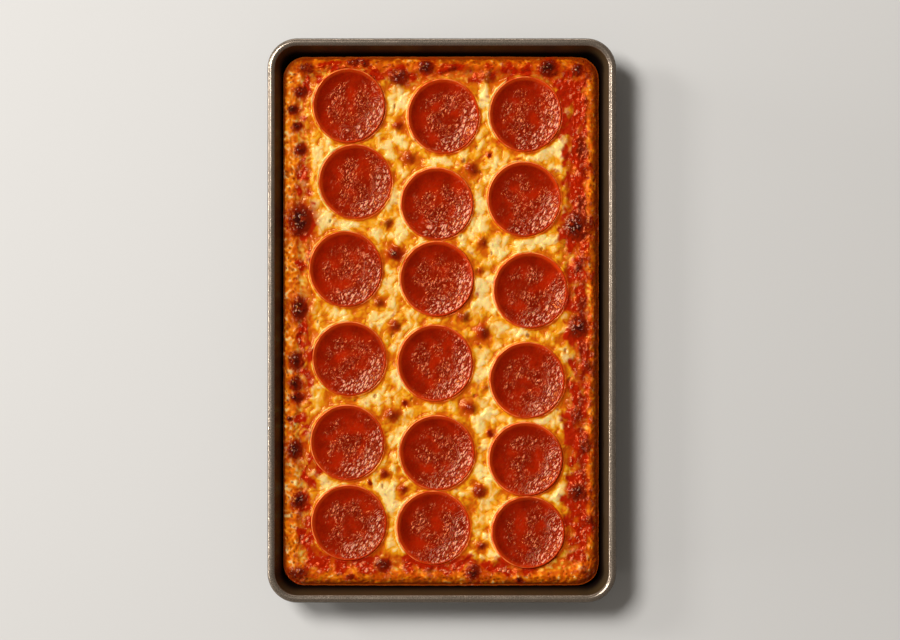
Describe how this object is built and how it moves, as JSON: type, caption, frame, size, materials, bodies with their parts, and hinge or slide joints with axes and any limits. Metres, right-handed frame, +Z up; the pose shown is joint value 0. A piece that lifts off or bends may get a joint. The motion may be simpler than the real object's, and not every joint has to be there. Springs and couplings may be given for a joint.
{
  "type": "pepperoni pizza",
  "caption": "Rectangular thick pan pizza with tomato sauce, melted browned cheese and round cupped pepperoni slices, lying in its dark steel baking pan with leaning walls and a rolled rim",
  "frame": {"origin": "middle of the pan's underside", "axes": "+Z up, +Y along the pizza's length, +X across it to the viewer's right when +Y points away"},
  "size_m": [0.22, 0.356, 0.032],
  "materials": {
    "pan": "dark seasoned steel, satin, worn grey on the rim",
    "crust": "baked golden to brown dough and cheese crust, finely pored",
    "sauce": "oily tomato sauce, glossy",
    "cheese": "melted cheese, pale to golden, oily sheen, browned bubbles",
    "pepperoni": "cured sausage, oily sheen"
  },
  "bodies": {
    "root": {"pan": "pan", "crust": "crust", "sauce": "sauce", "cheese": "cheese", "pepperoni_01": "pepperoni", "pepperoni_02": "pepperoni", "pepperoni_03": "pepperoni", "pepperoni_04": "pepperoni", "pepperoni_05": "pepperoni", "pepperoni_06": "pepperoni", "pepperoni_07": "pepperoni", "pepperoni_08": "pepperoni", "pepperoni_09": "pepperoni", "pepperoni_10": "pepperoni", "pepperoni_11": "pepperoni", "pepperoni_12": "pepperoni", "pepperoni_13": "pepperoni", "pepperoni_14": "pepperoni", "pepperoni_15": "pepperoni", "pepperoni_16": "pepperoni", "pepperoni_17": "pepperoni", "pepperoni_18": "pepperoni"}
  },
  "joints": []
}
